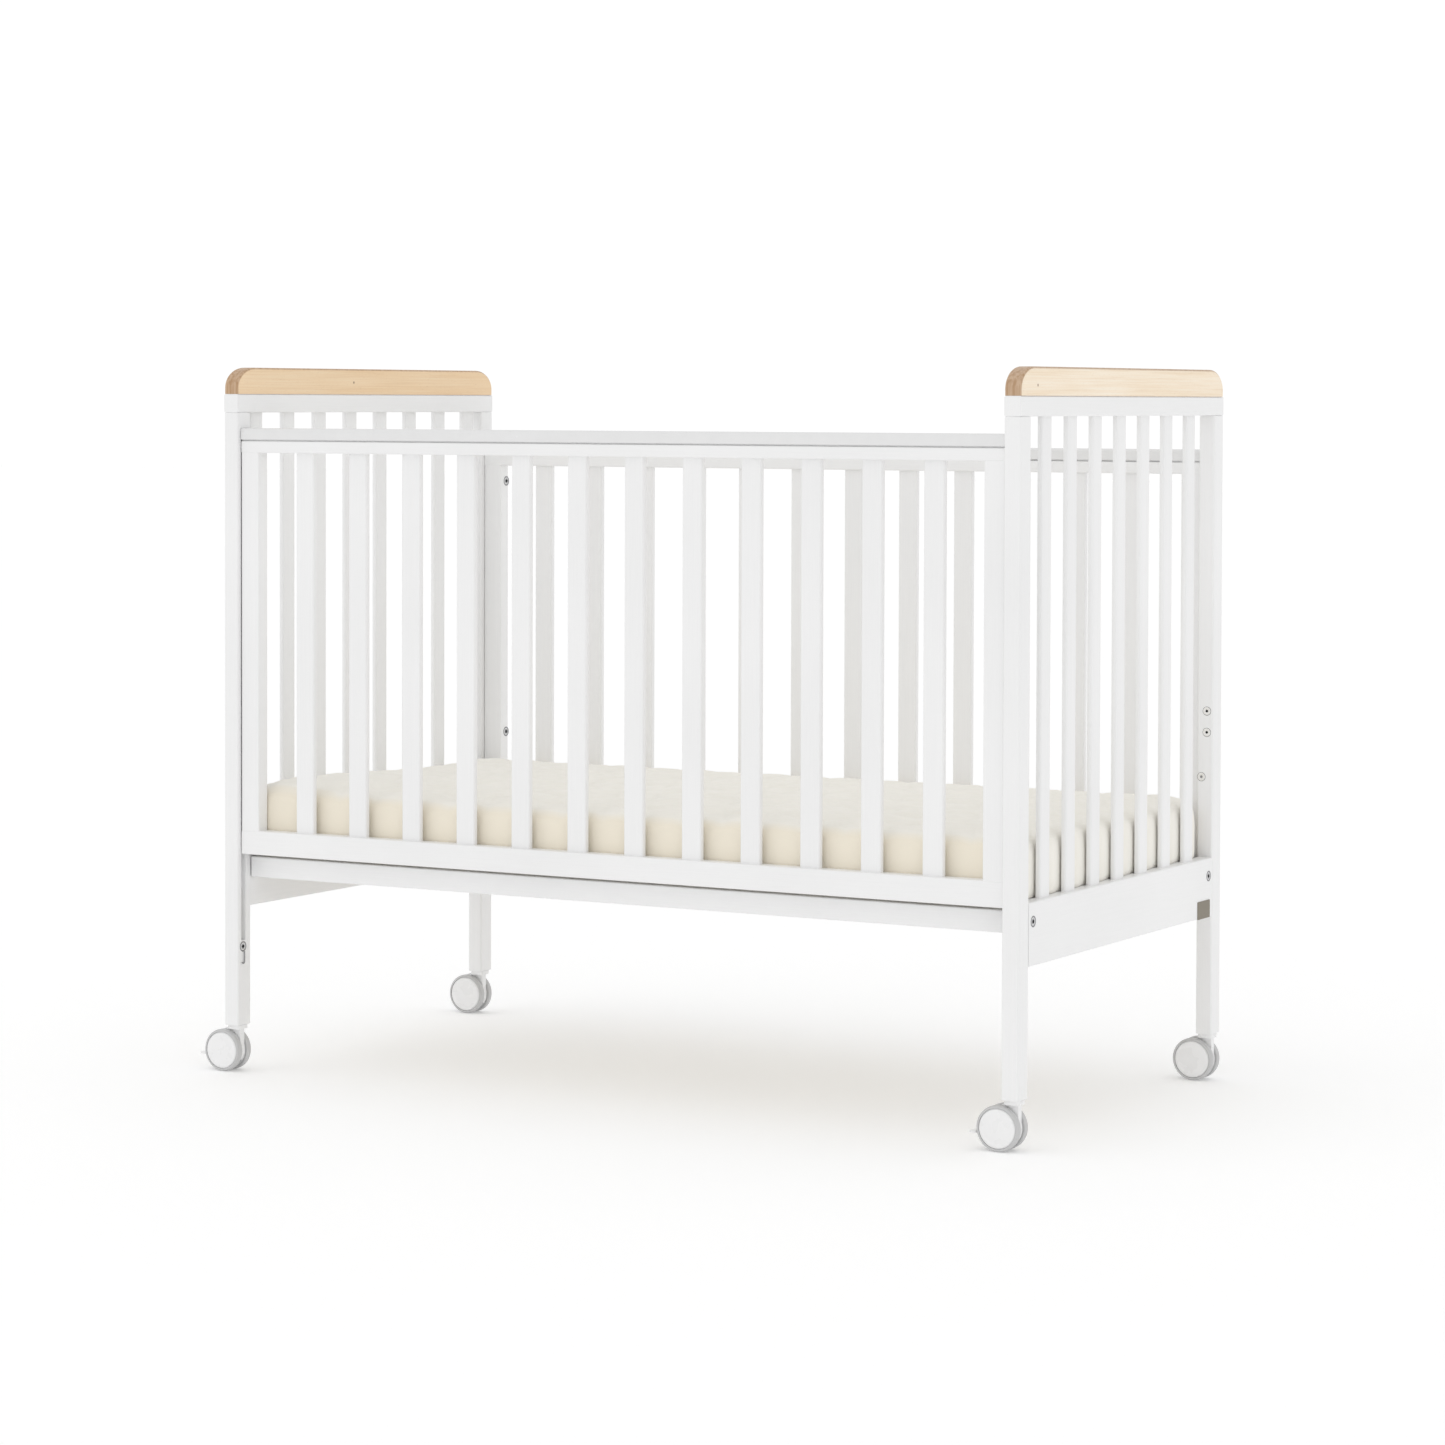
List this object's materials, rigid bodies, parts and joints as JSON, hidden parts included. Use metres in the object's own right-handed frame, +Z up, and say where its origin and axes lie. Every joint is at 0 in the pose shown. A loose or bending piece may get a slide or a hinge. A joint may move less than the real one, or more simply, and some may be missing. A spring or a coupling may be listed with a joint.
{
  "type": "baby crib",
  "caption": "Slatted wooden baby crib on swivel casters, with a front side that slides down, timber end caps and a quilted mattress.",
  "frame": {"origin": "on the floor, under the middle of the whole footprint (trailing casters and brake levers included)", "axes": "+X along the long side towards the right end seen from the drop side, +Y towards the fixed side, +Z up"},
  "size_m": [1.299, 0.667, 1.004],
  "materials": {
    "white_lacquer": "satin white lacquer on sanded beech",
    "natural_timber": "clear matt lacquer on light beech",
    "plywood": "bare sanded slats",
    "mattress_fabric": "quilted cream cotton cover",
    "teether_plastic": "smooth moulded teething strip",
    "guide_plastic": "moulded acetal",
    "caster_plastic": "moulded nylon, smooth",
    "caster_tread": "soft light-grey tread",
    "bolt_steel": "zinc-plated, slightly dull",
    "plate_metal": "brushed, blank"
  },
  "bodies": {
    "root": {"post_front_left": "white_lacquer", "post_front_right": "white_lacquer", "post_rear_left": "white_lacquer", "post_rear_right": "white_lacquer", "end_top_rail_left": "white_lacquer", "end_top_rail_right": "white_lacquer", "apron_left": "white_lacquer", "apron_right": "white_lacquer", "end_slat_left_1": "white_lacquer", "end_slat_left_2": "white_lacquer", "end_slat_left_3": "white_lacquer", "end_slat_left_4": "white_lacquer", "end_slat_left_5": "white_lacquer", "end_slat_left_6": "white_lacquer", "end_slat_left_7": "white_lacquer", "end_slat_left_8": "white_lacquer", "end_slat_right_1": "white_lacquer", "end_slat_right_2": "white_lacquer", "end_slat_right_3": "white_lacquer", "end_slat_right_4": "white_lacquer", "end_slat_right_5": "white_lacquer", "end_slat_right_6": "white_lacquer", "end_slat_right_7": "white_lacquer", "cap_left": "natural_timber", "cap_right": "natural_timber", "rear_moulding": "teether_plastic", "rear_side_frame": "white_lacquer", "base_rail_front": "white_lacquer", "base_rail_rear": "white_lacquer", "mattress_platform": "plywood", "mattress": "mattress_fabric", "guide_strip_left": "guide_plastic", "guide_strip_right": "guide_plastic"},
    "gate": {"gate_moulding": "teether_plastic", "gate_top_rail": "white_lacquer", "gate_bottom_rail": "white_lacquer", "gate_stile_left": "white_lacquer", "gate_stile_right": "white_lacquer", "gate_slat_1": "white_lacquer", "gate_slat_2": "white_lacquer", "gate_slat_3": "white_lacquer", "gate_slat_4": "white_lacquer", "gate_slat_5": "white_lacquer", "gate_slat_6": "white_lacquer", "gate_slat_7": "white_lacquer", "gate_slat_8": "white_lacquer", "gate_slat_9": "white_lacquer", "gate_slat_10": "white_lacquer", "gate_slat_11": "white_lacquer", "gate_slat_12": "white_lacquer"},
    "caster_front_left": {"caster_hood_front_left": "caster_plastic"},
    "wheels_front_left": {"caster_wheels_front_left": "caster_tread"},
    "lever_front_left": {"brake_lever_front_left": "caster_plastic"},
    "caster_front_right": {"caster_hood_front_right": "caster_plastic"},
    "wheels_front_right": {"caster_wheels_front_right": "caster_tread"},
    "lever_front_right": {"brake_lever_front_right": "caster_plastic"},
    "caster_rear_left": {"caster_hood_rear_left": "caster_plastic"},
    "wheels_rear_left": {"caster_wheels_rear_left": "caster_tread"},
    "caster_rear_right": {"caster_hood_rear_right": "caster_plastic"},
    "wheels_rear_right": {"caster_wheels_rear_right": "caster_tread"}
  },
  "joints": [
    {"name": "gate_drop", "type": "slide", "parent": "root", "child": "gate", "axis": [0, 0, -1], "range_m": [0, 0.12]},
    {"name": "swivel_front_left", "type": "hinge", "parent": "root", "child": "caster_front_left", "pos_m": [-0.589, -0.3165, 0.06], "axis": [0, 0, 1], "continuous": true},
    {"name": "roll_front_left", "type": "hinge", "parent": "caster_front_left", "child": "wheels_front_left", "pos_m": [-0.606, -0.3165, 0.03], "axis": [0, 1, 0], "continuous": true},
    {"name": "brake_front_left", "type": "hinge", "parent": "caster_front_left", "child": "lever_front_left", "pos_m": [-0.628, -0.3165, 0.022], "axis": [0, -1, 0], "range_deg": [0, 12]},
    {"name": "swivel_front_right", "type": "hinge", "parent": "root", "child": "caster_front_right", "pos_m": [0.637, -0.3165, 0.06], "axis": [0, 0, 1], "continuous": true},
    {"name": "roll_front_right", "type": "hinge", "parent": "caster_front_right", "child": "wheels_front_right", "pos_m": [0.62, -0.3165, 0.03], "axis": [0, 1, 0], "continuous": true},
    {"name": "brake_front_right", "type": "hinge", "parent": "caster_front_right", "child": "lever_front_right", "pos_m": [0.598, -0.3165, 0.022], "axis": [0, -1, 0], "range_deg": [0, 12]},
    {"name": "swivel_rear_left", "type": "hinge", "parent": "root", "child": "caster_rear_left", "pos_m": [-0.589, 0.3165, 0.06], "axis": [0, 0, 1], "continuous": true},
    {"name": "roll_rear_left", "type": "hinge", "parent": "caster_rear_left", "child": "wheels_rear_left", "pos_m": [-0.606, 0.3165, 0.03], "axis": [0, 1, 0], "continuous": true},
    {"name": "swivel_rear_right", "type": "hinge", "parent": "root", "child": "caster_rear_right", "pos_m": [0.637, 0.3165, 0.06], "axis": [0, 0, 1], "continuous": true},
    {"name": "roll_rear_right", "type": "hinge", "parent": "caster_rear_right", "child": "wheels_rear_right", "pos_m": [0.62, 0.3165, 0.03], "axis": [0, 1, 0], "continuous": true}
  ]
}
